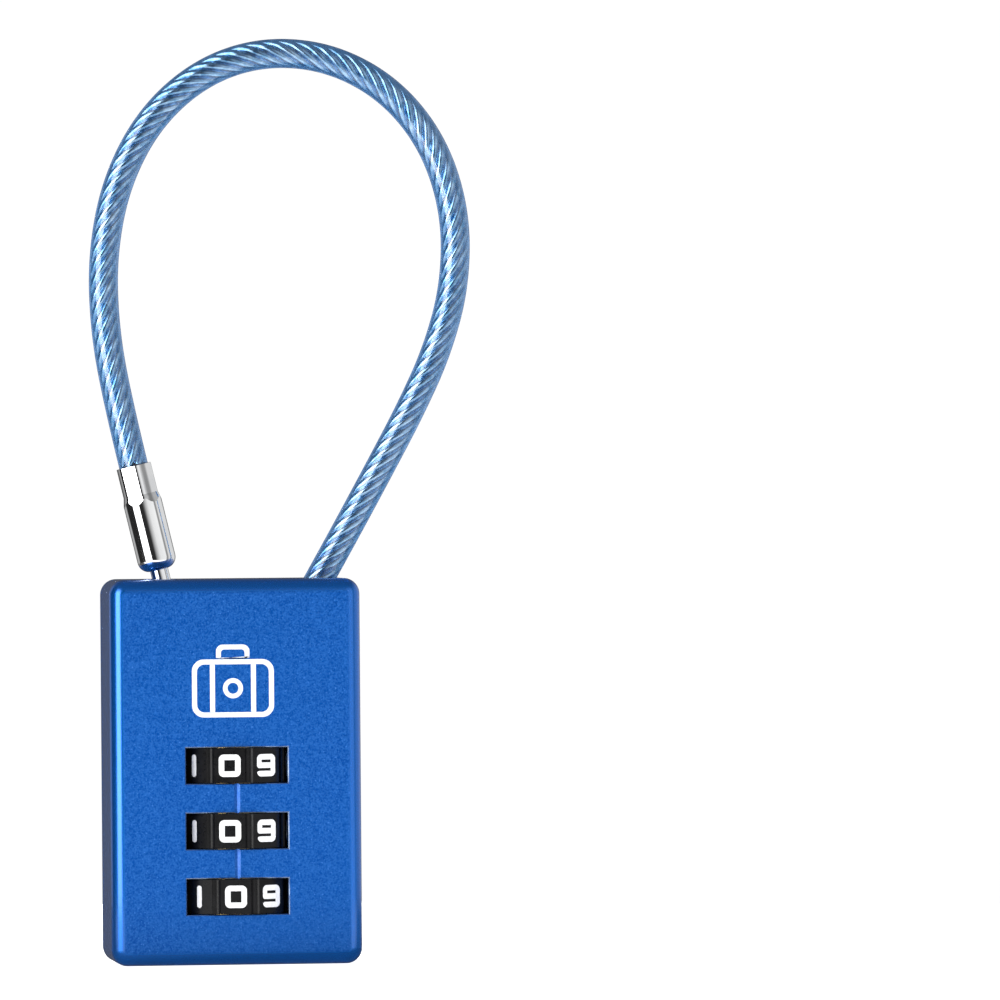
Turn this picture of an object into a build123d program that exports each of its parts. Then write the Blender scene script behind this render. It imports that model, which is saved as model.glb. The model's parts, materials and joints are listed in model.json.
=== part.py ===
from build123d import *
import os
from math import atan2, cos, degrees, pi, radians, sin, tan

os.makedirs("parts", exist_ok=True)

# ---------------------------------------------------------------------------
# Luggage combination padlock with a cable shackle.
# Frame: origin at the middle of the body's bottom face, +Z up, X across the
# width, the dial windows on the -Y side.  All lengths in millimetres.
# ---------------------------------------------------------------------------

# body
body_w = 30.0
body_t = 15.0
body_h = 46.0
corner_r = 1.9
front_edge_r = 1.75
back_edge_r = 0.8
split_y = 5.1
wall_side = 1.5
wall_front = 1.2
front_y = -body_t / 2
back_y = body_t / 2
inner_front_y = front_y + wall_front

# dials
dial_y = -1.0
dial_z = {"bottom": 8.2, "middle": 16.0, "top": 23.8}
dial_turn = {"bottom": -2.4, "middle": -7.4, "top": -7.4}
dial_pitch = 7.8
dial_apothem = 7.3
dial_t = 4.1
dial_sides = 10
window_w = 12.2
window_h = 4.3
digit_depth = 0.2
stroke = 0.66
digit_corner_r = 0.6
digit_w = 2.6
digit_h = 2.66

# clutch sleeves and spindle
sleeve_r = 4.0
saddle_r = 4.08
tooth_r = 4.85
tooth_w = 1.1
notch_r = 4.95
notch_w = 1.3
bore_r = 1.6
spindle_r = 1.5
chamber_r = 2.9
gate_w = 1.3
fin_w = 1.0
fin_r = 2.7

# locking pin and ferrule, on an axis that leans to -X
pin_x0 = -8.18
pin_dir = Vector(-0.2317, 0, 0.97279)
pin_r = 1.1
groove_r = 0.7
clip_z = 37.4
ferrule_s0 = 1.15
ferrule_s1 = 13.95
ferrule_r = 2.32
crimp_flats = 4.1
crimp_s = 10.0

# cable: straight runs joined by tangent arcs, in the plane y = 0
cable_d = 3.5
route = [
    (7.62, 40.22),
    (11.25, 46.57),
    (15.02, 53.30),
    (18.55, 59.73),
    (22.02, 66.18),
    (25.25, 73.11),
    (27.45, 80.95),
    (27.62, 89.69),
    (25.00, 98.06),
    (19.80, 104.53),
    (12.62, 108.42),
    (4.59, 109.15),
    (-2.81, 106.73),
    (-9.06, 101.30),
    (-13.17, 93.68),
    (-14.95, 84.95),
    (-14.76, 76.02),
    (-13.2774, 67.4014),
    (-11.2848, 59.0354),
]

# rivets
rivet_xz = [(-11.3, 3.7), (11.3, 3.7), (-11.3, 35.0), (11.3, 35.0)]
rivet_r = 1.0
rivet_head_r = 1.85

# webs between the dials, as height ranges
web_gap = window_h / 2
webs = [
    (4.5, dial_z["bottom"] - web_gap),
    (dial_z["bottom"] + web_gap, dial_z["middle"] - web_gap),
    (dial_z["middle"] + web_gap, dial_z["top"] - web_gap),
    (dial_z["top"] + web_gap, 27.6),
]
partition_z = (31.4, 33.0)
top_block_z = 38.1


def plane_y(y):
    """Upright plane facing -Y at depth y: local x is X, local y is Z."""
    return Plane(origin=(0, y, 0), x_dir=(1, 0, 0), z_dir=(0, -1, 0))


def pin_point(s):
    """A point on the locking pin's axis, s above the body's top face."""
    return Vector(pin_x0, 0, body_h) + pin_dir * s


def pin_plane(s):
    """Plane square to the locking pin's axis."""
    return Plane(origin=pin_point(s), x_dir=(0, 1, 0), z_dir=pin_dir)


pin_axis = Axis(pin_point(0), pin_dir)
pin_side = Plane(
    origin=pin_point(0),
    x_dir=(pin_dir.Z, 0, -pin_dir.X),
    z_dir=(0, -1, 0),
)

route_3d = [Vector(x, 0, z) for x, z in route]
exit_dir = (route_3d[1] - route_3d[0]).normalized()


def exit_plane(t):
    """Plane square to the cable where it leaves the body, t past its inner end."""
    return Plane(
        origin=route_3d[0] + exit_dir * t, x_dir=(0, 1, 0), z_dir=exit_dir
    )


# ---------------------------------------------------------------------------
# Front housing: front wall, sides, webs, top block
# ---------------------------------------------------------------------------
with BuildPart() as front_housing:
    with BuildSketch(plane_y(split_y)):
        with Locations((0, body_h / 2)):
            RectangleRounded(body_w, body_h, corner_r)
    extrude(amount=split_y - front_y)
    fillet(front_housing.faces().sort_by(Axis.Y)[0].edges(), radius=front_edge_r)
    chamfer(front_housing.faces().sort_by(Axis.Y)[-1].outer_wire().edges(), length=0.15)

    # cavity, open at the back
    with BuildSketch(plane_y(split_y)):
        with Locations((0, body_h / 2)):
            RectangleRounded(body_w - 2 * wall_side, body_h - 2 * wall_side, 0.6)
    extrude(amount=split_y - inner_front_y, mode=Mode.SUBTRACT)

    # webs that carry the dials and sleeves; a channel at +X stays free for the detent spring
    for z0, z1 in webs:
        with BuildSketch(Plane.XY.offset(z0)):
            with Locations((-1.35, (inner_front_y + split_y) / 2)):
                Rectangle(24.9, split_y - inner_front_y)
        extrude(amount=z1 - z0)

    # partition over the reset spring and the solid top block
    for z0, z1 in (partition_z, (top_block_z, body_h - wall_side)):
        with BuildSketch(Plane.XY.offset(z0)):
            with Locations((0, (inner_front_y + split_y) / 2)):
                Rectangle(body_w - 2 * wall_side + 0.4, split_y - inner_front_y)
        extrude(amount=z1 - z0 + (0.4 if z0 > 38 else 0))

    # rivet posts
    with BuildSketch(plane_y(split_y)):
        with Locations(*rivet_xz):
            Circle(1.9)
    extrude(amount=split_y - inner_front_y)

    # saddles for the sleeves, open to the back
    with BuildSketch(Plane.XY.offset(4.0)):
        with Locations((0, dial_y)):
            Circle(saddle_r)
        with Locations((0, (dial_y + split_y + 1) / 2)):
            Rectangle(2 * saddle_r, split_y + 1 - dial_y)
    extrude(amount=28.5 - 4.0, mode=Mode.SUBTRACT)

    # slot for the spindle in the partition
    with BuildSketch(Plane.XY.offset(30.0)):
        with Locations((0, dial_y)):
            Circle(bore_r)
        with Locations((0, (dial_y + split_y + 1) / 2)):
            Rectangle(2 * bore_r, split_y + 1 - dial_y)
    extrude(amount=5.0, mode=Mode.SUBTRACT)

    # dial windows
    with BuildSketch(plane_y(front_y - 1)):
        with Locations(*[(0, z) for z in dial_z.values()]):
            Rectangle(window_w, window_h)
    extrude(amount=-(wall_front + 1), mode=Mode.SUBTRACT)
    window_edges = (
        front_housing.edges()
        .filter_by_position(Axis.Y, front_y - 0.001, front_y + 0.001)
        .filter_by_position(Axis.X, -window_w / 2 - 0.01, window_w / 2 + 0.01)
        .filter_by_position(Axis.Z, 5.0, 28.0)
    )
    chamfer(window_edges, length=0.12)

    # index grooves between the windows
    for low in ("bottom", "middle"):
        z0 = dial_z[low] + window_h / 2
        with BuildSketch(Plane.XY.offset(z0)):
            with BuildLine():
                Polyline(
                    (-0.45, front_y - 0.05),
                    (0.45, front_y - 0.05),
                    (0, front_y + 0.2),
                    close=True,
                )
            make_face()
        extrude(amount=dial_pitch - window_h, mode=Mode.SUBTRACT)

    # bore for the locking pin, and the seat of its bush
    with BuildSketch(pin_plane(-1.0)):
        Circle(pin_r + 0.22)
    extrude(amount=3.0, mode=Mode.SUBTRACT)
    with BuildSketch(pin_plane(-1.0)):
        Circle(2.0)
    extrude(amount=-8.0, mode=Mode.SUBTRACT)

    # bore for the cable, and the seat of its crimp sleeve
    with BuildSketch(exit_plane(3.6)):
        Circle(cable_d / 2 + 0.1)
    extrude(amount=5.0, mode=Mode.SUBTRACT)
    with BuildSketch(exit_plane(3.7)):
        Circle(2.5)
    extrude(amount=-8.5, mode=Mode.SUBTRACT)

    # hole for the reset button
    with BuildSketch(Plane.XY.offset(-1.0)):
        with Locations((0, dial_y)):
            Circle(1.9)
    extrude(amount=wall_side + 1.0, mode=Mode.SUBTRACT)

    # rivet holes
    with BuildSketch(plane_y(split_y)):
        with Locations(*rivet_xz):
            Circle(rivet_r)
    extrude(amount=6.2, mode=Mode.SUBTRACT)
front_housing.part.label = "front_housing"
export_step(front_housing.part, "parts/front_housing.step")

# ---------------------------------------------------------------------------
# Back cover with dial pockets and saddle caps
# ---------------------------------------------------------------------------
with BuildPart() as back_cover:
    with BuildSketch(plane_y(back_y)):
        with Locations((0, body_h / 2)):
            RectangleRounded(body_w, body_h, corner_r)
    extrude(amount=back_y - split_y)
    fillet(back_cover.faces().sort_by(Axis.Y)[-1].edges(), radius=back_edge_r)
    chamfer(back_cover.faces().sort_by(Axis.Y)[0].edges(), length=0.15)

    # caps that close the saddles
    for z0, z1 in webs:
        with BuildSketch(Plane.XY.offset(z0 + 0.1)):
            with Locations((0, (1.5 + split_y + 0.5) / 2)):
                Rectangle(7.8, split_y + 0.5 - 1.5)
        extrude(amount=z1 - z0 - 0.2)
    with BuildSketch(Plane.XY.offset(partition_z[0] + 0.2)):
        with Locations((0, (1.2 + split_y + 0.5) / 2)):
            Rectangle(2.9, split_y + 0.5 - 1.2)
    extrude(amount=1.2)
    with BuildSketch(Plane.XY.offset(4.0)):
        with Locations((0, dial_y)):
            Circle(saddle_r)
    extrude(amount=24.0, mode=Mode.SUBTRACT)

    # pockets that clear the dials
    for z in dial_z.values():
        with BuildSketch(Plane.XY.offset(z - web_gap)):
            with Locations((0, dial_y)):
                Circle(7.85)
        extrude(amount=window_h, mode=Mode.SUBTRACT)

    # countersunk rivet holes
    with BuildSketch(plane_y(back_y)):
        with Locations(*rivet_xz):
            Circle(rivet_r)
    extrude(amount=back_y - split_y, mode=Mode.SUBTRACT)
    with BuildSketch(plane_y(back_y)):
        with Locations(*rivet_xz):
            Circle(2.0)
    extrude(amount=1.0, taper=45, mode=Mode.SUBTRACT)
back_cover.part.label = "back_cover"
export_step(back_cover.part, "parts/back_cover.step")

# ---------------------------------------------------------------------------
# Rivets
# ---------------------------------------------------------------------------
with BuildPart() as cover_rivets:
    with BuildSketch(plane_y(back_y - 0.15)):
        with Locations(*rivet_xz):
            Circle(rivet_head_r)
    extrude(amount=0.85, taper=45)
    with BuildSketch(plane_y(back_y - 0.9)):
        with Locations(*rivet_xz):
            Circle(rivet_r)
    extrude(amount=7.4)
cover_rivets.part.label = "cover_rivets"
export_step(cover_rivets.part, "parts/cover_rivets.step")

# ---------------------------------------------------------------------------
# Guide bush of the locking pin
# ---------------------------------------------------------------------------
with BuildPart() as pin_guide_bush:
    with BuildSketch(pin_plane(-1.0)):
        Circle(2.0)
        Circle(pin_r + 0.08, mode=Mode.SUBTRACT)
    extrude(amount=-6.6)
pin_guide_bush.part.label = "pin_guide_bush"
export_step(pin_guide_bush.part, "parts/pin_guide_bush.step")

# ---------------------------------------------------------------------------
# Locking pin: spigot, shank, groove and conical nose
# ---------------------------------------------------------------------------
with BuildPart() as locking_pin:
    with BuildSketch(pin_side):
        with BuildLine():
            Polyline(
                (0, -11.3),
                (0.45, -11.3),
                (pin_r, -10.1),
                (pin_r, -9.54),
                (groove_r, -9.54),
                (groove_r, -8.14),
                (pin_r, -8.14),
                (pin_r, ferrule_s0),
                (0.9, ferrule_s0),
                (0.9, 4.5),
                (0, 4.5),
                close=True,
            )
        make_face()
    revolve(axis=pin_axis)
locking_pin.part.label = "locking_pin"
export_step(locking_pin.part, "parts/locking_pin.step")

# ---------------------------------------------------------------------------
# Ferrule: round barrel with a rounded foot, six-sided crimp at the mouth
# ---------------------------------------------------------------------------
crimp_angle = 34.3
crimp_corner_r = 0.7


def crimp_sides(apothem):
    """Ends and middles of the crimp's six bulged sides."""
    corner = apothem / 0.9186
    ends = [
        (
            corner * cos(radians(crimp_angle + 60 * k - 30)),
            corner * sin(radians(crimp_angle + 60 * k - 30)),
        )
        for k in range(7)
    ]
    middles = [
        (
            apothem * cos(radians(crimp_angle + 60 * k)),
            apothem * sin(radians(crimp_angle + 60 * k)),
        )
        for k in range(6)
    ]
    return list(zip(ends, middles, ends[1:]))


with BuildPart() as crimp_form:
    for s_here, apothem in ((crimp_s - 1.0, ferrule_r + 0.06), (crimp_s + 0.4, crimp_flats / 2)):
        with BuildSketch(pin_plane(s_here)) as crimp_section:
            with BuildLine():
                for p0, p1, p2 in crimp_sides(apothem):
                    ThreePointArc(p0, p1, p2)
            make_face()
            fillet(crimp_section.vertices(), radius=crimp_corner_r)
    loft()
    with BuildSketch(pin_plane(0)):
        Circle(3.0)
    extrude(amount=crimp_s - 0.95)
    with BuildSketch(pin_plane(crimp_s + 0.4)) as crimp_section:
        with BuildLine():
            for p0, p1, p2 in crimp_sides(crimp_flats / 2):
                ThreePointArc(p0, p1, p2)
        make_face()
        fillet(crimp_section.vertices(), radius=crimp_corner_r)
    extrude(amount=ferrule_s1 - crimp_s)

foot_r = 1.35
with BuildPart() as ferrule:
    with BuildSketch(pin_side):
        with BuildLine():
            Line((0, ferrule_s0), (ferrule_r - foot_r, ferrule_s0))
            CenterArc((ferrule_r - foot_r, ferrule_s0 + foot_r), foot_r, -90, 90)
            Line((ferrule_r, ferrule_s0 + foot_r), (ferrule_r, ferrule_s1))
            Line((ferrule_r, ferrule_s1), (0, ferrule_s1))
            Line((0, ferrule_s1), (0, ferrule_s0))
        make_face()
    revolve(axis=pin_axis)
    add(crimp_form.part, mode=Mode.INTERSECT)
    # mouth for the cable, seat of the pin's spigot
    with BuildSketch(pin_plane(ferrule_s1 - 0.55)):
        Circle(cable_d / 2 + 0.05)
    extrude(amount=2.0, mode=Mode.SUBTRACT)
    with BuildSketch(pin_plane(ferrule_s0 - 1.0)):
        Circle(0.9)
    extrude(amount=4.5 - ferrule_s0 + 1.0, mode=Mode.SUBTRACT)
ferrule.part.label = "ferrule"
export_step(ferrule.part, "parts/ferrule.step")

# ---------------------------------------------------------------------------
# Crimp sleeve on the cable's inner end
# ---------------------------------------------------------------------------
with BuildPart() as cable_anchor_sleeve:
    with BuildSketch(exit_plane(-0.6)):
        Circle(2.45)
    extrude(amount=4.2)
    with BuildSketch(exit_plane(0)):
        Circle(cable_d / 2)
    extrude(amount=5.0, mode=Mode.SUBTRACT)
cable_anchor_sleeve.part.label = "cable_anchor_sleeve"
export_step(cable_anchor_sleeve.part, "parts/cable_anchor_sleeve.step")

# ---------------------------------------------------------------------------
# Cable: one tube from the crimp sleeve to the ferrule's mouth
# ---------------------------------------------------------------------------
runs = [(b - a).length for a, b in zip(route_3d, route_3d[1:])]
turns = [
    (b - a).get_angle(c - b) for a, b, c in zip(route_3d, route_3d[1:], route_3d[2:])
]
radii = [
    0.45 * min(p, q) / tan(radians(t) / 2) for p, q, t in zip(runs, runs[1:], turns)
]
with BuildPart() as cable:
    with BuildLine():
        cable_path = FilletPolyline(*route_3d, radius=radii)
    with BuildSketch(exit_plane(0)):
        Circle(cable_d / 2)
    sweep(path=cable_path)
cable.part.label = "cable"
export_step(cable.part, "parts/cable.step")
print("cable runs", [round(r, 2) for r in runs])
print("cable radii", [round(r, 1) for r in radii])
print("cable length", round(cable_path.length, 2))
print(
    "cable volume",
    round(cable.part.volume, 2),
    "section x length",
    round(pi * (cable_d / 2) ** 2 * cable_path.length, 2),
)

# ---------------------------------------------------------------------------
# Numerals: rounded block strokes on a seven-stroke skeleton
# ---------------------------------------------------------------------------
dx = (digit_w - stroke) / 2
dz = (digit_h - stroke) / 2
TL, TR, ML, MR, BL, BR = (-dx, dz), (dx, dz), (-dx, 0), (dx, 0), (-dx, -dz), (dx, -dz)
strokes = {
    0: [(TL, TR), (TR, BR), (BR, BL), (BL, TL)],
    1: [((0, dz), (0, -dz))],
    2: [(TL, TR), (TR, MR), (MR, ML), (ML, BL), (BL, BR)],
    3: [(TL, TR), (TR, BR), (BR, BL), (ML, MR)],
    4: [(TL, ML), (ML, MR), (TR, BR)],
    5: [(TR, TL), (TL, ML), (ML, MR), (MR, BR), (BR, BL)],
    6: [(TR, TL), (TL, BL), (BL, BR), (BR, MR), (MR, ML)],
    7: [(TL, TR), (TR, BR)],
    8: [(TL, TR), (TR, BR), (BR, BL), (BL, TL), (ML, MR)],
    9: [(MR, ML), (ML, TL), (TL, TR), (TR, BR), (BR, BL)],
}


def facet_plane(z, turn, k):
    """Plane of facet k of a dial, facing outward, local y up."""
    a = radians(-90 - 36 * k + turn)
    n = (cos(a), sin(a), 0)
    return Plane(
        origin=(dial_apothem * n[0], dial_y + dial_apothem * n[1], z),
        x_dir=(-n[1], n[0], 0),
        z_dir=n,
    )


digit_solids = {}
for name, z in dial_z.items():
    with BuildPart() as dial_digits:
        for k, lines in strokes.items():
            with BuildSketch(facet_plane(z, dial_turn[name], k)):
                for (x0, y0), (x1, y1) in lines:
                    length = ((x1 - x0) ** 2 + (y1 - y0) ** 2) ** 0.5
                    angle = degrees(atan2(y1 - y0, x1 - x0))
                    with Locations(((x0 + x1) / 2, (y0 + y1) / 2)):
                        SlotCenterToCenter(length, stroke, rotation=angle)
                RectangleRounded(digit_w, digit_h, digit_corner_r, mode=Mode.INTERSECT)
            extrude(amount=-digit_depth)
    dial_digits.part.label = f"dial_digits_{name}"
    export_step(dial_digits.part, f"parts/dial_digits_{name}.step")
    digit_solids[name] = dial_digits.part

# ---------------------------------------------------------------------------
# Dials: ten facets, a groove at every corner, toothed bore
# ---------------------------------------------------------------------------
for name, z in dial_z.items():
    with BuildPart() as dial:
        with BuildSketch(Plane.XY.offset(z - dial_t / 2)):
            with Locations((0, dial_y)):
                RegularPolygon(
                    dial_apothem, dial_sides, major_radius=False, rotation=dial_turn[name]
                )
                with PolarLocations(7.85, dial_sides, start_angle=dial_turn[name]):
                    Circle(0.62, mode=Mode.SUBTRACT)
        extrude(amount=dial_t)
        # toothed lower bore
        with BuildSketch(Plane.XY.offset(z - dial_t / 2)):
            with Locations((0, dial_y)):
                Circle(saddle_r + 0.02)
                with PolarLocations(notch_r / 2, dial_sides):
                    Rectangle(notch_r, notch_w)
        extrude(amount=1.6, mode=Mode.SUBTRACT)
        # plain upper bore, room for the teeth while the code is being reset
        with BuildSketch(Plane.XY.offset(z - dial_t / 2 + 1.6)):
            with Locations((0, dial_y)):
                Circle(5.05)
        extrude(amount=dial_t - 1.6, mode=Mode.SUBTRACT)
        add(digit_solids[name], mode=Mode.SUBTRACT)
    dial.part.label = f"dial_{name}"
    export_step(dial.part, f"parts/dial_{name}.step")

# ---------------------------------------------------------------------------
# Clutch sleeves: toothed band, fin chamber, gate at the code and a second gate
# halfway between two numerals
# ---------------------------------------------------------------------------
for name, z in dial_z.items():
    z0 = z - dial_pitch / 2
    with BuildPart() as clutch_sleeve:
        with BuildSketch(Plane.XY.offset(z0)):
            with Locations((0, dial_y)):
                Circle(sleeve_r)
        extrude(amount=dial_pitch - 0.04)
        with BuildSketch(Plane.XY.offset(z - 2.0)):
            with Locations((0, dial_y)):
                with PolarLocations(tooth_r - 1.0, dial_sides):
                    Rectangle(2.0, tooth_w)
        extrude(amount=1.4)
        with BuildSketch(Plane.XY.offset(z0)):
            with Locations((0, dial_y)):
                Circle(bore_r)
        extrude(amount=dial_pitch, mode=Mode.SUBTRACT)
        with BuildSketch(Plane.XY.offset(z0 + 5.0)):
            with Locations((0, dial_y)):
                Circle(chamber_r)
        extrude(amount=dial_pitch, mode=Mode.SUBTRACT)
        with BuildSketch(Plane.XY.offset(z0)):
            with Locations((chamber_r / 2, dial_y)):
                Rectangle(chamber_r, gate_w)
            with Locations((0, dial_y - chamber_r / 2)):
                Rectangle(gate_w, chamber_r)
        extrude(amount=5.0, mode=Mode.SUBTRACT)
    clutch_sleeve.part.label = f"clutch_sleeve_{name}"
    export_step(clutch_sleeve.part, f"parts/clutch_sleeve_{name}.step")

# ---------------------------------------------------------------------------
# Spindle with one fin in each sleeve
# ---------------------------------------------------------------------------
with BuildPart() as spindle:
    with BuildSketch(Plane.XY.offset(6.5)):
        with Locations((0, dial_y)):
            Circle(spindle_r)
    extrude(amount=36.3 - 6.5)
    for z in dial_z.values():
        with BuildSketch(Plane.XY.offset(z - dial_pitch / 2 + 5.7)):
            with Locations((fin_r / 2, dial_y)):
                Rectangle(fin_r, fin_w)
        extrude(amount=1.5)
    with BuildSketch(Plane.XY.offset(36.3)):
        with Locations((0, dial_y)):
            Circle(1.0)
    extrude(amount=1.5)
    chamfer(spindle.faces().sort_by(Axis.Z)[0].edges(), length=0.3)
spindle.part.label = "spindle"
export_step(spindle.part, "parts/spindle.step")

# ---------------------------------------------------------------------------
# Lock plate: fork that keeps the latch clip from spreading
# ---------------------------------------------------------------------------
with BuildPart() as lock_plate:
    with BuildSketch(Plane.XY.offset(36.3)):
        with Locations((-3.35, -0.25)):
            RectangleRounded(10.5, 5.3, 0.6)
        with Locations((-6.6, 0)):
            Rectangle(6.8, 3.0, mode=Mode.SUBTRACT)
        with Locations((0, dial_y)):
            Circle(1.0, mode=Mode.SUBTRACT)
    extrude(amount=1.2)
lock_plate.part.label = "lock_plate"
export_step(lock_plate.part, "parts/lock_plate.step")

# ---------------------------------------------------------------------------
# Latch clip: hairpin of round wire that sits in the pin's groove
# ---------------------------------------------------------------------------
clip_y = 1.08
with BuildPart() as latch_clip:
    with BuildLine() as clip_path:
        leg_a = Line((-3.9, -clip_y, clip_z), (-8.4, -clip_y, clip_z))
        bend = ThreePointArc(
            (-8.4, -clip_y, clip_z), (-8.4 - clip_y, 0, clip_z), (-8.4, clip_y, clip_z)
        )
        leg_b = Line((-8.4, clip_y, clip_z), (-3.9, clip_y, clip_z))
    with BuildSketch(Plane(origin=(-3.9, -clip_y, clip_z), x_dir=(0, 1, 0), z_dir=(-1, 0, 0))):
        Circle(0.35)
    sweep()
latch_clip.part.label = "latch_clip"
export_step(latch_clip.part, "parts/latch_clip.step")

# ---------------------------------------------------------------------------
# Reset button, with a flange under the sleeves and a bore for the spindle spring
# ---------------------------------------------------------------------------
with BuildPart() as reset_button:
    with BuildSketch(Plane.XY.offset(0.3)):
        with Locations((0, dial_y)):
            Circle(1.8)
    extrude(amount=2.0)
    chamfer(reset_button.faces().sort_by(Axis.Z)[0].edges(), length=0.2)
    with BuildSketch(Plane.XY.offset(1.55)):
        with Locations((0, dial_y)):
            Circle(3.0)
    extrude(amount=4.26 - 1.55)
    with BuildSketch(Plane.XY.offset(2.4)):
        with Locations((0, dial_y)):
            Circle(bore_r)
    extrude(amount=3.0, mode=Mode.SUBTRACT)
reset_button.part.label = "reset_button"
export_step(reset_button.part, "parts/reset_button.step")

# ---------------------------------------------------------------------------
# Thrust washer on the top sleeve
# ---------------------------------------------------------------------------
with BuildPart() as thrust_washer:
    with BuildSketch(Plane.XY.offset(27.72)):
        with Locations((0, dial_y)):
            Circle(3.8)
            Circle(1.7, mode=Mode.SUBTRACT)
    extrude(amount=0.4)
thrust_washer.part.label = "thrust_washer"
export_step(thrust_washer.part, "parts/thrust_washer.step")

# ---------------------------------------------------------------------------
# Compression springs
# ---------------------------------------------------------------------------
reset_wire_r = 0.28
reset_coil_r = 2.7
reset_spring_z0 = 28.14 + reset_wire_r
reset_spring_h = 31.38 - reset_wire_r - reset_spring_z0
with BuildPart() as reset_spring:
    with BuildLine():
        reset_helix = Helix(
            pitch=reset_spring_h / 3.0,
            height=reset_spring_h,
            radius=reset_coil_r,
            center=(0, dial_y, reset_spring_z0),
        )
    with BuildSketch(
        Plane(origin=reset_helix @ 0, z_dir=reset_helix % 0)
    ):
        Circle(reset_wire_r)
    sweep(path=reset_helix, is_frenet=True)
reset_spring.part.label = "reset_spring"
export_step(reset_spring.part, "parts/reset_spring.step")

spindle_wire_r = 0.18
spindle_coil_r = 1.15
spindle_spring_z0 = 2.42 + spindle_wire_r
spindle_spring_h = 6.48 - spindle_wire_r - spindle_spring_z0
with BuildPart() as spindle_spring:
    with BuildLine():
        spindle_helix = Helix(
            pitch=spindle_spring_h / 5.0,
            height=spindle_spring_h,
            radius=spindle_coil_r,
            center=(0, dial_y, spindle_spring_z0),
        )
    with BuildSketch(
        Plane(origin=spindle_helix @ 0, z_dir=spindle_helix % 0)
    ):
        Circle(spindle_wire_r)
    sweep(path=spindle_helix, is_frenet=True)
spindle_spring.part.label = "spindle_spring"
export_step(spindle_spring.part, "parts/spindle_spring.step")

# ---------------------------------------------------------------------------
# Detent spring: a leaf along the side wall with one bent finger per dial
# ---------------------------------------------------------------------------
leaf_t = 0.3
finger = [
    (13.0, 4.30),
    (11.6, 3.62),
    (7.62, -1.05),
    (8.75, -3.10),
    (8.98, -2.93),
    (7.96, -1.07),
    (11.74, 3.35),
    (13.2, 4.03),
]
with BuildPart() as detent_spring:
    with BuildSketch(Plane.XY.offset(6.6)):
        with Locations((13.2, 0.7)):
            Rectangle(leaf_t, 7.6)
    extrude(amount=20.6)
    for z in dial_z.values():
        with BuildSketch(Plane.XY.offset(z - 1.1)):
            with BuildLine():
                Polyline(*finger, close=True)
            make_face()
        extrude(amount=2.2)
detent_spring.part.label = "detent_spring"
export_step(detent_spring.part, "parts/detent_spring.step")
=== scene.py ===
import bpy
import json
import math
import numpy as np
from mathutils import Matrix, Vector


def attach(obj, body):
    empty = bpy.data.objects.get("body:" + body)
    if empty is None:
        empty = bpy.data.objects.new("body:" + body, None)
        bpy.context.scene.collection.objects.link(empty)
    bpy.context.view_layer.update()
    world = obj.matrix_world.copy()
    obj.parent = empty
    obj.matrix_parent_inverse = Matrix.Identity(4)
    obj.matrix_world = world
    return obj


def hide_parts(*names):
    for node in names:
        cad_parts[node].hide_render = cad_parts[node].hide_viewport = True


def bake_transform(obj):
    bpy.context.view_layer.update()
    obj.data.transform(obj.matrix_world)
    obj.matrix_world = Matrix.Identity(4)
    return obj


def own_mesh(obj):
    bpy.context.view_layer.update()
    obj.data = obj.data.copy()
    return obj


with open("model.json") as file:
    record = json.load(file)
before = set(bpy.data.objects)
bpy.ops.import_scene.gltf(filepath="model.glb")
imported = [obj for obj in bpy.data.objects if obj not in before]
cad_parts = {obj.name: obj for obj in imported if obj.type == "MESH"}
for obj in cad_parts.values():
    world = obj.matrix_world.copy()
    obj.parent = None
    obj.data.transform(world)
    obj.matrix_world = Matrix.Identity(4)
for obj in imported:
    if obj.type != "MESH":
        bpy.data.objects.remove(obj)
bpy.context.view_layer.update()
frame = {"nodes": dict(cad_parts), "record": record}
scene = bpy.context.scene
N = frame["nodes"]
scene.view_settings.view_transform = "Standard"
scene.view_settings.look = "None"

# ---------------------------------------------------------------- camera
# The padlock is seen 7 degrees round to its left, level, from far away.
PHI = math.radians(7)
ROLL = 0.00785
DISTANCE = 1.2
RIGHT = Vector((math.cos(PHI), -math.sin(PHI), 0))
BACK = Vector((-math.sin(PHI), -math.cos(PHI), 0))
UP = Vector((0, 0, 1))
camera_data = bpy.data.cameras.new("camera")
camera = bpy.data.objects.new("camera", camera_data)
scene.collection.objects.link(camera)
camera_data.sensor_width = 36
camera_data.lens = 36 * DISTANCE / (1000 / 8350.0)
camera_data.clip_start = 0.01
camera_data.clip_end = 100
turned = Matrix(
    ((RIGHT - UP * ROLL).normalized(), (UP + RIGHT * ROLL).normalized(), BACK)
).transposed().to_4x4()
turned.translation = RIGHT * 0.03247 + UP * 0.05515 + BACK * DISTANCE
camera.matrix_world = turned
scene.camera = camera


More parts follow.
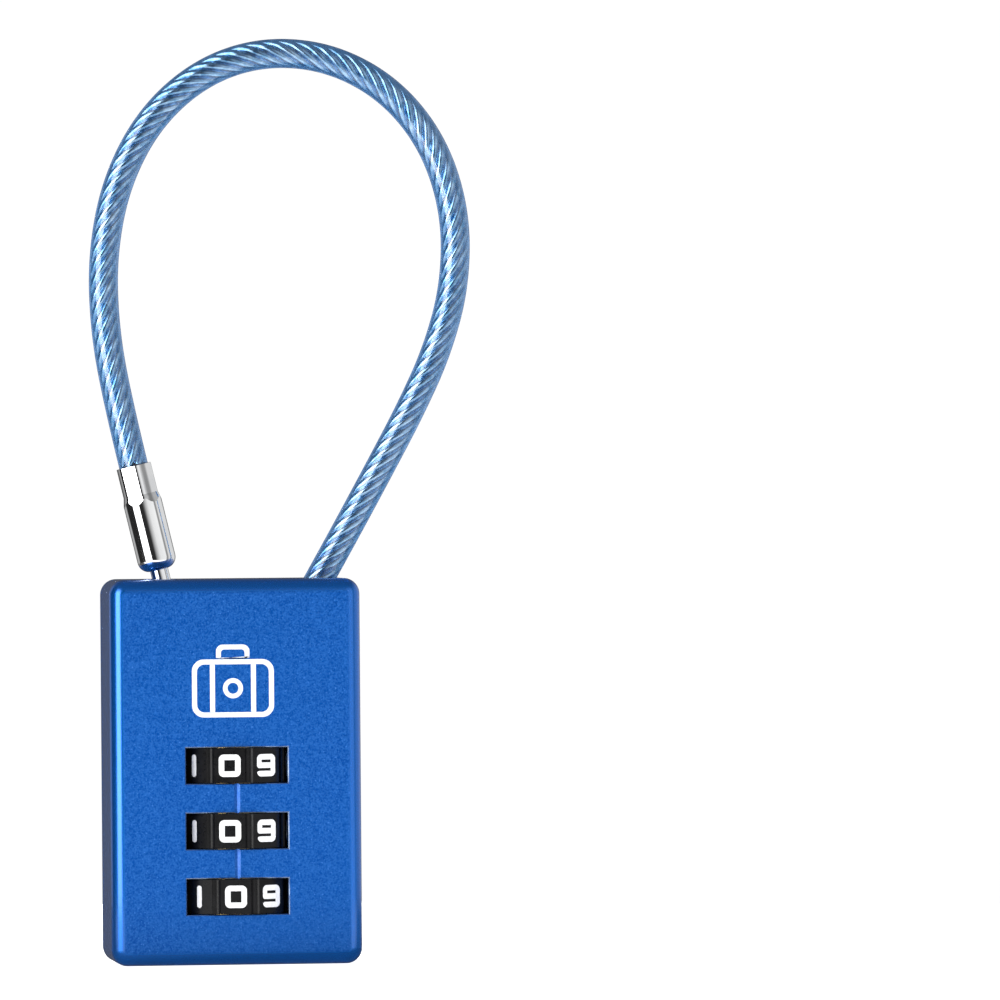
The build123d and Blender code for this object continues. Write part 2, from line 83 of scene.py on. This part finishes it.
# ---------------------------------------------------------------- node helpers
class Nodes:
    """A material's node tree with short calls for the nodes used here."""

    def __init__(self, name):
        self.material = bpy.data.materials.new(name)
        self.material.use_nodes = True
        self.tree = self.material.node_tree
        self.tree.nodes.clear()
        self.out = self.add("ShaderNodeOutputMaterial")
        self.bsdf = self.add("ShaderNodeBsdfPrincipled")
        self.link(self.bsdf.outputs[0], self.out.inputs["Surface"])
        self.coord = self.add("ShaderNodeTexCoord")

    def add(self, kind, **settings):
        node = self.tree.nodes.new(kind)
        for key, value in settings.items():
            setattr(node, key, value)
        return node

    def link(self, a, b):
        self.tree.links.new(a, b)

    def set(self, **values):
        for key, value in values.items():
            self.bsdf.inputs[key.replace("_", " ")].default_value = value

    def put(self, key, socket):
        self.link(socket, self.bsdf.inputs[key])

    def scaled(self, scale):
        """Object coordinates stretched by (x, y, z)."""
        node = self.add("ShaderNodeVectorMath", operation="MULTIPLY")
        self.link(self.coord.outputs["Object"], node.inputs[0])
        node.inputs[1].default_value = scale
        return node.outputs[0]

    def noise(self, scale, detail=2.0, roughness=0.5, vector=None):
        node = self.add("ShaderNodeTexNoise")
        node.inputs["Scale"].default_value = scale
        node.inputs["Detail"].default_value = detail
        node.inputs["Roughness"].default_value = roughness
        self.link(vector or self.coord.outputs["Object"], node.inputs["Vector"])
        return node.outputs["Fac"] if "Fac" in node.outputs else node.outputs[0]

    def wide(self, value, a, b, low, high, smooth=False):
        """value from a..b brought to low..high, clamped."""
        node = self.add("ShaderNodeMapRange")
        node.clamp = True
        if smooth:
            node.interpolation_type = "SMOOTHSTEP"
        self.link(value, node.inputs["Value"])
        for key, number in zip(("From Min", "From Max", "To Min", "To Max"), (a, b, low, high)):
            node.inputs[key].default_value = number
        return node.outputs["Result"]

    def math(self, operation, a, b=None):
        node = self.add("ShaderNodeMath", operation=operation)
        for socket, value in zip(node.inputs, (a, b)):
            if value is None:
                continue
            if isinstance(value, (int, float)):
                socket.default_value = value
            else:
                self.link(value, socket)
        return node.outputs[0]

    def mix(self, fac, a, b):
        node = self.add("ShaderNodeMix", data_type="RGBA")
        for socket, value in zip((node.inputs[0], node.inputs[6], node.inputs[7]), (fac, a, b)):
            if isinstance(value, (int, float)):
                socket.default_value = value
            elif isinstance(value, tuple):
                socket.default_value = (*value, 1)
            else:
                self.link(value, socket)
        return node.outputs[2]

    def axis(self, vector, which):
        node = self.add("ShaderNodeSeparateXYZ")
        self.link(vector, node.inputs[0])
        return node.outputs[which]

    def bump(self, height, strength, distance):
        node = self.add("ShaderNodeBump")
        node.inputs["Distance"].default_value = distance
        if isinstance(strength, (int, float)):
            node.inputs["Strength"].default_value = strength
        else:
            self.link(strength, node.inputs["Strength"])
        self.link(height, node.inputs["Height"])
        self.put("Normal", node.outputs[0])


def between(n, socket, low, high, soft):
    """1 where low < socket < high, with soft ends."""
    return n.math(
        "MULTIPLY",
        n.wide(socket, low - soft, low + soft, 0, 1, True),
        n.wide(socket, high - soft, high + soft, 1, 0, True),
    )


# ---------------------------------------------------------------- materials
def blue_paint():
    """Sand-blasted blue paint on the flat faces, smooth and glossy on the roundings, bare bright metal on the edge
    walls of the window openings, painted as a highlight at full strength only where those walls face down or to the
    left.
    """
    n = Nodes("blue_paint")
    normal_y = n.math("ABSOLUTE", n.axis(n.coord.outputs["Normal"], 1))
    x = n.axis(n.coord.outputs["Object"], 0)
    y = n.axis(n.coord.outputs["Object"], 1)
    z = n.axis(n.coord.outputs["Object"], 2)
    normal_z = n.math("ABSOLUTE", n.axis(n.coord.outputs["Normal"], 2))
    groove = n.math("MULTIPLY", between(n, x, -0.00045, 0.00045, 0.00003), n.wide(normal_z, 0.1, 0.3, 1, 0))
    groove = n.math("MULTIPLY", groove, between(n, z, 0.0095, 0.0225, 0.0002))
    flat = n.math("MAXIMUM", n.wide(normal_y, 0.975, 0.997, 0, 1, True), groove)
    fine = n.noise(4300, 1.0, 0.5)
    coarse = n.noise(1900, 1.5, 0.5)
    cloud = n.noise(60, 2.0, 0.5)
    speckle = n.math("ADD", n.math("MULTIPLY", fine, 0.7), n.math("MULTIPLY", coarse, 0.3))
    grainy = n.mix(n.wide(speckle, 0.36, 0.64, 0, 1), (0.0, 0.0735, 0.377), (0.0195, 0.144, 0.524))
    sparkle = n.wide(n.noise(4000, 1.0, 0.5), 0.62, 0.75, 0, 0.6)
    grainy = n.mix(sparkle, grainy, (0.065, 0.270, 0.760))
    colour = n.mix(flat, (0.0030, 0.122, 0.510), grainy)
    colour = n.mix(n.wide(cloud, 0.35, 0.65, 0.0, 0.12), colour, (0.006, 0.150, 0.580))
    slanted = between(n, normal_y, 0.35, 0.93, 0.03)
    near = n.math("MULTIPLY", between(n, x, -0.0064, 0.0064, 0.0001), between(n, z, 0.0055, 0.0266, 0.0001))
    cut_metal_and_highlight = n.math("MULTIPLY", n.math("MULTIPLY", slanted, near), n.wide(y, -0.0071, -0.0068, 1, 0, True))
    worn = n.wide(n.noise(700, 3.0, 0.6), 0.35, 0.6, 0.35, 0.95)
    # Painted highlight on the bare edge metal: full strength on walls that face down or to the left, dimmed to a fifth
    # on the others as painted shade.
    lit = n.math(
        "MAXIMUM",
        n.wide(n.axis(n.coord.outputs["Normal"], 2), -0.5, -0.3, 1, 0.2),
        n.wide(n.axis(n.coord.outputs["Normal"], 0), -0.5, -0.3, 1, 0.2),
    )
    cut_metal_and_highlight = n.math("MULTIPLY", n.math("MULTIPLY", cut_metal_and_highlight, lit), n.math("MULTIPLY", worn, n.wide(groove, 0, 1, 1.0, 0.10)))
    # Bare metal colour, shown through the painted highlight mask above.
    colour = n.mix(cut_metal_and_highlight, colour, (0.55, 0.72, 0.95))
    n.put("Base Color", colour)
    n.put("Coat Weight", n.wide(flat, 0, 1, 0.75, 0.06))
    n.set(Metallic=0.75, Coat_Roughness=0.08)
    n.set(Specular_IOR_Level=0.25)
    rough = n.math(
        "ADD",
        n.wide(flat, 0, 1, 0.27, 0.50),
        n.math("MULTIPLY", n.wide(fine, 0.35, 0.65, -0.08, 0.08), flat),
    )
    n.put("Roughness", rough)
    n.bump(speckle, n.math("MULTIPLY", flat, 0.6), 0.00006)
    return n.material


def dial_black():
    n = Nodes("dial_black")
    fine = n.noise(2600, 3.0, 0.6)
    wear = n.noise(420, 3.0, 0.55)
    n.put("Base Color", n.mix(n.wide(wear, 0.4, 0.7, 0, 1), (0.0025, 0.0025, 0.003), (0.006, 0.006, 0.007)))
    n.put("Roughness", n.wide(fine, 0.3, 0.7, 0.24, 0.38))
    n.set(Specular_IOR_Level=0.22)
    n.bump(fine, 0.18, 0.00002)
    return n.material


def digit_white(name="digit_white", low=(0.76, 0.76, 0.77), high=(0.88, 0.88, 0.89)):
    n = Nodes(name)
    ink = n.noise(2400, 3.0, 0.6)
    n.put("Base Color", n.mix(n.wide(ink, 0.35, 0.65, 0, 1), low, high))
    n.put("Roughness", n.wide(ink, 0.3, 0.7, 0.42, 0.58))
    n.set(Specular_IOR_Level=0.4)
    n.bump(ink, 0.15, 0.00002)
    return n.material


def chrome():
    n = Nodes("chrome")
    hair = n.noise(900, 4.0, 0.6, n.scaled((6.0, 6.0, 0.8)))
    spot = n.noise(220, 3.0, 0.5)
    n.put("Base Color", n.mix(n.wide(spot, 0.4, 0.65, 0, 1), (0.86, 0.87, 0.885), (0.93, 0.935, 0.94)))
    n.put("Roughness", n.wide(hair, 0.35, 0.7, 0.035, 0.085))
    n.set(Metallic=1.0)
    n.bump(hair, 0.05, 0.00001)
    return n.material


def metal(name, dark, light, rough, stretch, scale=600, bump=0.12):
    """Machined or drawn metal: noise stretched along one direction."""
    n = Nodes(name)
    grain = n.noise(scale, 4.0, 0.6, n.scaled(stretch))
    n.put("Base Color", n.mix(n.wide(grain, 0.35, 0.65, 0, 1), dark, light))
    n.put("Roughness", n.wide(grain, 0.3, 0.7, rough - 0.07, rough + 0.09))
    n.set(Metallic=1.0)
    n.bump(grain, bump, 0.00002)
    return n.material


def strand_steel():
    n = Nodes("strand_steel")
    grain = n.noise(1500, 3.0, 0.6)
    patch = n.noise(300, 2.0, 0.5)
    colour = n.mix(n.wide(grain, 0.35, 0.65, 0, 1), (0.11, 0.32, 0.575), (0.39, 0.62, 0.87))
    colour = n.mix(n.wide(patch, 0.5, 0.75, 0, 0.4), colour, (0.62, 0.80, 0.98))
    n.put("Base Color", colour)
    n.put("Roughness", n.wide(grain, 0.3, 0.7, 0.11, 0.20))
    n.set(Metallic=0.95)
    return n.material


def core_gap_shade():
    n = Nodes("core_gap_shade")
    # Near-black blue: painted shade that shows in the gaps between the strands.
    grain = n.noise(900, 2.0, 0.5)
    n.put("Base Color", n.mix(grain, (0.006, 0.030, 0.14), (0.015, 0.060, 0.24)))
    n.set(Roughness=0.5)
    return n.material


def cable_jacket():
    """Clear blue plastic: see-through face on, deep blue where it is seen along its wall."""
    n = Nodes("cable_jacket")
    edge = n.add("ShaderNodeLayerWeight")
    edge.inputs["Blend"].default_value = 0.5
    cloud = n.noise(900, 2.0, 0.5)
    depth = n.math("POWER", edge.outputs["Facing"], 1.25)
    alpha = n.math("ADD", n.wide(depth, 0, 1, 0.05, 1.15), n.wide(cloud, 0.35, 0.65, -0.04, 0.04))
    n.put("Alpha", alpha)
    n.put("Base Color", n.mix(n.wide(cloud, 0.35, 0.65, 0, 1), (0.042, 0.168, 0.410), (0.080, 0.235, 0.510)))
    n.put("Roughness", n.wide(cloud, 0.3, 0.7, 0.09, 0.16))
    n.set(IOR=1.5)
    n.bump(n.noise(420, 2.0, 0.5), 0.05, 0.00003)
    gloss = n.add("ShaderNodeBsdfGlossy")
    gloss.inputs["Roughness"].default_value = 0.10
    both = n.add("ShaderNodeMixShader")
    both.inputs[0].default_value = 0.08
    n.link(n.bsdf.outputs[0], both.inputs[1])
    n.link(gloss.outputs[0], both.inputs[2])
    n.link(both.outputs[0], n.out.inputs["Surface"])
    return n.material


made = {
    "blue_paint": blue_paint(),
    "dial_black": dial_black(),
    "digit_white": digit_white(),
    "chrome": chrome(),
    "brass": metal("brass", (0.62, 0.44, 0.18), (0.82, 0.64, 0.32), 0.27, (1, 1, 8)),
    "spring_steel": metal("spring_steel", (0.48, 0.49, 0.51), (0.70, 0.71, 0.73), 0.28, (1, 1, 6)),
    "spindle_steel": metal("spindle_steel", (0.40, 0.41, 0.43), (0.60, 0.61, 0.63), 0.32, (1, 1, 9)),
    "rivet_steel": metal("rivet_steel", (0.34, 0.36, 0.40), (0.54, 0.56, 0.60), 0.36, (1, 1, 1), 1400),
    "cable_jacket": cable_jacket(),
}
for row in frame["record"]["subparts"]:
    if row["node"] in N:
        mesh = N[row["node"]].data
        mesh.materials.clear()
        mesh.materials.append(made[row["material_slot"]])

# ---------------------------------------------------------------- cable
ROUTE = [
    (7.62, 40.22), (11.25, 46.57), (15.02, 53.30), (18.55, 59.73), (22.02, 66.18),
    (25.25, 73.11), (27.45, 80.95), (27.62, 89.69), (25.00, 98.06), (19.80, 104.53),
    (12.62, 108.42), (4.59, 109.15), (-2.81, 106.73), (-9.06, 101.30), (-13.17, 93.68),
    (-14.95, 84.95), (-14.76, 76.02), (-13.2774, 67.4014), (-11.2848, 59.0354),
]
curve = bpy.data.curves.new("cable_route", "CURVE")
curve.dimensions = "3D"
curve.resolution_u = 24
spline = curve.splines.new("NURBS")
spline.points.add(len(ROUTE) - 1)
for point, (x, z) in zip(spline.points, ROUTE):
    point.co = (x / 1000, 0, z / 1000, 1)
spline.order_u = 3
spline.use_endpoint_u = True
holder = bpy.data.objects.new("cable_route", curve)
scene.collection.objects.link(holder)
bpy.context.view_layer.update()
line = bpy.data.meshes.new_from_object(holder)
centre = np.array([v.co for v in line.vertices], float)
bpy.data.objects.remove(holder)
bpy.data.meshes.remove(line)
arc = np.r_[0, np.cumsum(np.linalg.norm(np.diff(centre, axis=0), axis=1))]
LENGTH = float(arc[-1])


def along(step):
    """Points, tangents and the two cross directions of the route, every step metres."""
    s = np.linspace(0, LENGTH, int(round(LENGTH / step)) + 1)
    p = np.stack([np.interp(s, arc, centre[:, k]) for k in range(3)], 1)
    fine = np.gradient(centre, arc, axis=0)
    t = np.stack([np.interp(s, arc, fine[:, k]) for k in range(3)], 1)
    t /= np.linalg.norm(t, axis=1)[:, None]
    a = np.tile([0.0, 1.0, 0.0], (len(s), 1))
    b = np.cross(t, a)
    return s, p, t, a, b


def tube(p, a, b, radius, sides):
    """Vertices and faces of a closed tube on the centres p with cross directions a and b."""
    turn = np.arange(sides) * 2 * np.pi / sides
    radius = np.broadcast_to(np.asarray(radius, float), (len(p),))[:, None, None]
    ring = (
        np.cos(turn)[None, :, None] * a[:, None, :]
        + np.sin(turn)[None, :, None] * b[:, None, :]
    )
    v = (p[:, None, :] + radius * ring).reshape(-1, 3)
    k, i = np.meshgrid(np.arange(len(p) - 1), np.arange(sides), indexing="ij")
    j = (i + 1) % sides
    f = np.stack([k * sides + i, k * sides + j, (k + 1) * sides + j, (k + 1) * sides + i], -1)
    f = f.reshape(-1, 4).tolist()
    f.append(list(range(sides))[::-1])
    last = (len(p) - 1) * sides
    f.append([last + q for q in range(sides)])
    return v, f


def piece(name, parts, material):
    verts, faces, base = [], [], 0
    for v, f in parts:
        verts.append(v)
        faces += [[q + base for q in face] for face in f]
        base += len(v)
    mesh = bpy.data.meshes.new(name)
    mesh.from_pydata(np.concatenate(verts).tolist(), [], faces)
    mesh.polygons.foreach_set("use_smooth", [len(f) == 4 for f in faces])
    mesh.materials.append(material)
    mesh.update()
    obj = bpy.data.objects.new(name, mesh)
    scene.collection.objects.link(obj)
    return obj


JACKET_R = 0.00175
s, p, t, a, b = along(0.0005)
edge = np.minimum(s, LENGTH - s)
round_end = JACKET_R - 0.00012 * np.clip(1 - edge / 0.0003, 0, 1)
jacket = piece("cable_jacket", [tube(p, a, b, round_end, 36)], made["cable_jacket"])

inner = slice(1, -1)
# The core tube carries the painted shade seen between the strands.
core = piece("cable_core", [tube(p[inner], a[inner], b[inner], 0.00095, 14)], core_gap_shade())

# Seven strands laid right-handed round the core. The real rope is thinner and its jacket
# magnifies it to the full width, so this rope has the width and the lay that are seen.
# Each strand is six wires twisted the other way, as lobes of its section.
STRANDS, STRAND_R, LAY = 7, 0.00120, 0.0126
LOBES, TUBE_R, WIRE_LAY, SIDES = 6, 0.00051, 0.0060, 24
s, p, t, a, b = along(0.00026)
s, p, t, a, b = (x[2:-2] for x in (s, p, t, a, b))
round_turn = np.arange(SIDES) * 2 * np.pi / SIDES
wires = []
for i in range(STRANDS):
    angle = 2 * np.pi * (s / LAY + i / STRANDS)
    out = np.cos(angle)[:, None] * a + np.sin(angle)[:, None] * b
    mid = p + STRAND_R * out
    run = np.gradient(mid, axis=0)
    run /= np.linalg.norm(run, axis=1)[:, None]
    out = out - (out * run).sum(1)[:, None] * run
    out /= np.linalg.norm(out, axis=1)[:, None]
    side = np.cross(run, out)
    twist = -2 * np.pi * (s / WIRE_LAY + i * 0.37)
    phase = LOBES / 2 * (round_turn[None, :] - twist[:, None])
    section = TUBE_R * (0.91 + 0.09 * np.abs(np.cos(phase)) ** 0.8)
    v, f = tube(mid, out, side, 1.0, SIDES)
    v = v.reshape(len(mid), SIDES, 3)
    v = mid[:, None, :] + (v - mid[:, None, :]) * section[:, :, None]
    wires.append((v.reshape(-1, 3), f))
strands = piece("cable_strands", wires, strand_steel())

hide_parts("cable")
for obj in (jacket, core, strands):
    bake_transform(obj)


# ---------------------------------------------------------------- coil springs
def coil(name, body):
    """A spring's visible stand-in: a copy of its mesh that moves with the given body."""
    source = N[name]
    bpy.context.view_layer.update()
    mesh = source.data.copy()
    mesh.transform(source.matrix_world)
    obj = bpy.data.objects.new(name + "_coil", mesh)
    scene.collection.objects.link(obj)
    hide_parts(name)
    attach(obj, body)
    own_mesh(obj)


coil("reset_spring", "housing")
coil("spindle_spring", "reset")


# ---------------------------------------------------------------- printed mark
# A plain suitcase pictogram of this script's own design, printed on the front face.
def rounded(cx, cz, w, h, r, clockwise=False, steps=8):
    out = []
    for qx, qz, start in ((1, 1, 0), (-1, 1, 90), (-1, -1, 180), (1, -1, 270)):
        for k in range(steps + 1):
            g = math.radians(start + 90 * k / steps)
            out.append((cx + qx * (w / 2 - r) + r * math.cos(g), cz + qz * (h / 2 - r) + r * math.sin(g)))
    return out[::-1] if clockwise else out


def printed(name, loops, y, thick):
    """Filled flat shapes with holes, made from 2D curves, as a thin layer on the plane y."""
    data = bpy.data.curves.new(name, "CURVE")
    data.dimensions = "2D"
    data.fill_mode = "BOTH"
    data.extrude = thick / 2
    for loop in loops:
        sp = data.splines.new("POLY")
        sp.points.add(len(loop) - 1)
        for q, (x, z) in zip(sp.points, loop):
            q.co = (x / 1000, z / 1000, 0, 1)
        sp.use_cyclic_u = True
    tmp = bpy.data.objects.new(name, data)
    scene.collection.objects.link(tmp)
    bpy.context.view_layer.update()
    mesh = bpy.data.meshes.new_from_object(tmp)
    bpy.data.objects.remove(tmp)
    mesh.transform(Matrix(((1, 0, 0, 0), (0, 0, -1, y), (0, 1, 0, 0), (0, 0, 0, 1))))
    obj = bpy.data.objects.new(name, mesh)
    scene.collection.objects.link(obj)
    return obj


MX, MZ = -0.4, 33.9
case = printed(
    "printed_mark",
    [
        rounded(MX, MZ - 0.9, 9.8, 6.9, 1.4),
        rounded(MX, MZ - 0.9, 8.6, 5.7, 0.9),
    ],
    -0.00751,
    0.00002,
)
rest = [
    printed("strap", [rounded(MX - 2.45, MZ - 0.9, 0.6, 5.66, 0.05)], -0.00751, 0.00002),
    printed("strap", [rounded(MX + 2.45, MZ - 0.9, 0.6, 5.66, 0.05)], -0.00751, 0.00002),
    printed("badge", [rounded(MX, MZ - 0.9, 2.4, 2.4, 1.19), rounded(MX, MZ - 0.9, 1.3, 1.3, 0.64)], -0.00751, 0.00002),
    printed(
        "handle",
        [
            [(x, z) for x, z in rounded(MX, MZ + 3.2, 4.0, 2.2, 0.8) if z > MZ + 2.6]
            + [(MX - 2.0, MZ + 2.62), (MX - 1.42, MZ + 2.62)]
            + [(x, z) for x, z in rounded(MX, MZ + 3.0, 2.84, 1.44, 0.4, True) if z > MZ + 2.7]
            + [(MX + 1.42, MZ + 2.62), (MX + 2.0, MZ + 2.62)]
        ],
        -0.00751,
        0.00002,
    ),
]
verts, faces = [], []
for obj in [case] + rest:
    base = len(verts)
    verts += [tuple(v.co) for v in obj.data.vertices]
    faces += [[q + base for q in face.vertices] for face in obj.data.polygons]
    bpy.data.objects.remove(obj)
mark_mesh = bpy.data.meshes.new("printed_mark")
mark_mesh.from_pydata(verts, [], faces)
mark = bpy.data.objects.new("printed_mark", mark_mesh)
scene.collection.objects.link(mark)
mark.data.materials.append(digit_white("mark_print", (0.60, 0.66, 0.74), (0.80, 0.84, 0.88)))
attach(mark, "housing")

# ---------------------------------------------------------------- floor, world and lights
floor_mesh = bpy.data.meshes.new("floor")
ring = [(0.18 * math.cos(k * math.pi / 32), 0.18 * math.sin(k * math.pi / 32), -0.00002) for k in range(64)]
floor_mesh.from_pydata(ring, [], [list(range(64))])
floor = bpy.data.objects.new("floor", floor_mesh)
scene.collection.objects.link(floor)
ground = bpy.data.materials.new("floor")
ground.use_nodes = True
gt = ground.node_tree
gt.nodes.clear()
g_out = gt.nodes.new("ShaderNodeOutputMaterial")
g_diffuse = gt.nodes.new("ShaderNodeBsdfDiffuse")
g_diffuse.inputs["Color"].default_value = (0.86, 0.86, 0.86, 1)
g_glow = gt.nodes.new("ShaderNodeEmission")
g_path = gt.nodes.new("ShaderNodeLightPath")
g_power = gt.nodes.new("ShaderNodeMath")
g_power.operation = "MULTIPLY"
g_power.inputs[1].default_value = 0.35
g_add = gt.nodes.new("ShaderNodeAddShader")
gt.links.new(g_path.outputs["Is Camera Ray"], g_power.inputs[0])
g_both = gt.nodes.new("ShaderNodeMath")
g_both.operation = "ADD"
g_both.inputs[1].default_value = 0.60
gt.links.new(g_power.outputs[0], g_both.inputs[0])
gt.links.new(g_both.outputs[0], g_glow.inputs["Strength"])
gt.links.new(g_diffuse.outputs[0], g_add.inputs[0])
gt.links.new(g_glow.outputs[0], g_add.inputs[1])
# In polished faces the floor shows a painted reflection: bright in front of the lock, and dim close to it and behind it
# as a painted shadow.
g_place = gt.nodes.new("ShaderNodeTexCoord")
g_front = gt.nodes.new("ShaderNodeVectorMath")
g_front.operation = "DOT_PRODUCT"
g_front.inputs[1].default_value = BACK
gt.links.new(g_place.outputs["Object"], g_front.inputs[0])
g_fade = gt.nodes.new("ShaderNodeMapRange")
for key, number in zip(("From Min", "From Max", "To Min", "To Max"), (0.008, 0.035, 0.10, 1.60)):
    g_fade.inputs[key].default_value = number
gt.links.new(g_front.outputs["Value"], g_fade.inputs["Value"])
g_mirror = gt.nodes.new("ShaderNodeEmission")
gt.links.new(g_fade.outputs["Result"], g_mirror.inputs["Strength"])
g_mix = gt.nodes.new("ShaderNodeMixShader")
gt.links.new(g_path.outputs["Is Glossy Ray"], g_mix.inputs[0])
gt.links.new(g_add.outputs[0], g_mix.inputs[1])
gt.links.new(g_mirror.outputs[0], g_mix.inputs[2])
gt.links.new(g_mix.outputs[0], g_out.inputs["Surface"])
floor_mesh.materials.append(ground)

# A white studio: pale all round, with one tall strip light on the left and dark
# flags beside it, which is what the polished ferrule shows.
world = bpy.data.worlds.new("studio")
scene.world = world
world.use_nodes = True
wt = world.node_tree
wt.nodes.clear()


def wn(kind, **settings):
    node = wt.nodes.new(kind)
    for key, value in settings.items():
        setattr(node, key, value)
    return node


w_out = wn("ShaderNodeOutputWorld")
w_coord = wn("ShaderNodeTexCoord")
dots = []
for way in (RIGHT, BACK, UP):
    d = wn("ShaderNodeVectorMath", operation="DOT_PRODUCT")
    wt.links.new(w_coord.outputs["Generated"], d.inputs[0])
    d.inputs[1].default_value = way
    dots.append(d.outputs["Value"])
w_angle = wn("ShaderNodeMath", operation="ARCTAN2")
wt.links.new(dots[0], w_angle.inputs[0])
wt.links.new(dots[1], w_angle.inputs[1])
w_share = wn("ShaderNodeMath", operation="MULTIPLY_ADD")
wt.links.new(w_angle.outputs[0], w_share.inputs[0])
w_share.inputs[1].default_value = 1 / (2 * math.pi)
w_share.inputs[2].default_value = 0.5
w_ramp = wn("ShaderNodeValToRGB")
wt.links.new(w_share.outputs[0], w_ramp.inputs[0])
PEAK = 6.0
BANDS = [
    (-180, 0.10), (-156, 0.10), (-142, 0.40), (-122, 0.50), (-116, 0.02), (-64, 0.02), (-57, PEAK), (-28, PEAK),
    (-21, 0.02), (1, 0.03), (12, 0.40), (30, 0.85), (65, 0.95), (70, 0.30), (78, 0.30),
    (84, 0.72), (140, 0.75), (158, 0.20), (180, 0.10),
]
elements = w_ramp.color_ramp.elements
while len(elements) > 1:
    elements.remove(elements[-1])
for k, (degrees, value) in enumerate(BANDS):
    place = degrees / 360 + 0.5
    el = elements[0] if k == 0 else elements.new(place)
    el.position = place
    el.color = (value / PEAK,) * 3 + (1,)
w_height = wn("ShaderNodeMapRange", interpolation_type="SMOOTHSTEP")
wt.links.new(dots[2], w_height.inputs["Value"])
for key, number in zip(("From Min", "From Max", "To Min", "To Max"), (0.30, 0.80, 0.0, 1.0)):
    w_height.inputs[key].default_value = number
w_top = wn("ShaderNodeMix", data_type="RGBA")
wt.links.new(w_height.outputs["Result"], w_top.inputs[0])
wt.links.new(w_ramp.outputs["Color"], w_top.inputs[6])
w_top.inputs[7].default_value = (0.14 / PEAK,) * 3 + (1,)
w_low = wn("ShaderNodeMapRange", interpolation_type="SMOOTHSTEP")
wt.links.new(dots[2], w_low.inputs["Value"])
for key, number in zip(("From Min", "From Max", "To Min", "To Max"), (-0.25, -0.6, 0.0, 1.0)):
    w_low.inputs[key].default_value = number
w_under = wn("ShaderNodeMix", data_type="RGBA")
wt.links.new(w_low.outputs["Result"], w_under.inputs[0])
wt.links.new(w_top.outputs[2], w_under.inputs[6])
w_under.inputs[7].default_value = (0.85 / PEAK,) * 3 + (1,)
w_light = wn("ShaderNodeBackground")
w_light.inputs["Strength"].default_value = PEAK
wt.links.new(w_under.outputs[2], w_light.inputs["Color"])
w_seen = wn("ShaderNodeBackground")
w_seen.inputs["Color"].default_value = (1, 1, 1, 1)
w_seen.inputs["Strength"].default_value = 1.02
w_path = wn("ShaderNodeLightPath")
w_mix = wn("ShaderNodeMixShader")
wt.links.new(w_path.outputs["Is Camera Ray"], w_mix.inputs[0])
wt.links.new(w_light.outputs[0], w_mix.inputs[1])
wt.links.new(w_seen.outputs[0], w_mix.inputs[2])
wt.links.new(w_mix.outputs[0], w_out.inputs["Surface"])


def softbox(name, place, target, size, power):
    data = bpy.data.lights.new(name, "AREA")
    data.shape = "RECTANGLE"
    data.size, data.size_y = size
    data.energy = power
    obj = bpy.data.objects.new(name, data)
    obj.location = place
    look = (Vector(target) - Vector(place)).to_track_quat("-Z", "Y")
    obj.rotation_euler = look.to_euler()
    scene.collection.objects.link(obj)
    return obj


fill = softbox("fill", tuple(BACK * 0.8 + RIGHT * 0.75 + UP * 0.12), (0, 0, 0.04), (0.5, 0.5), 8.0)
fill.visible_glossy = False
rear = softbox("rear", tuple(BACK * -0.8 + RIGHT * -0.4 + UP * 0.3), (0, 0, 0.03), (0.5, 0.5), 16.0)
rear.visible_glossy = False
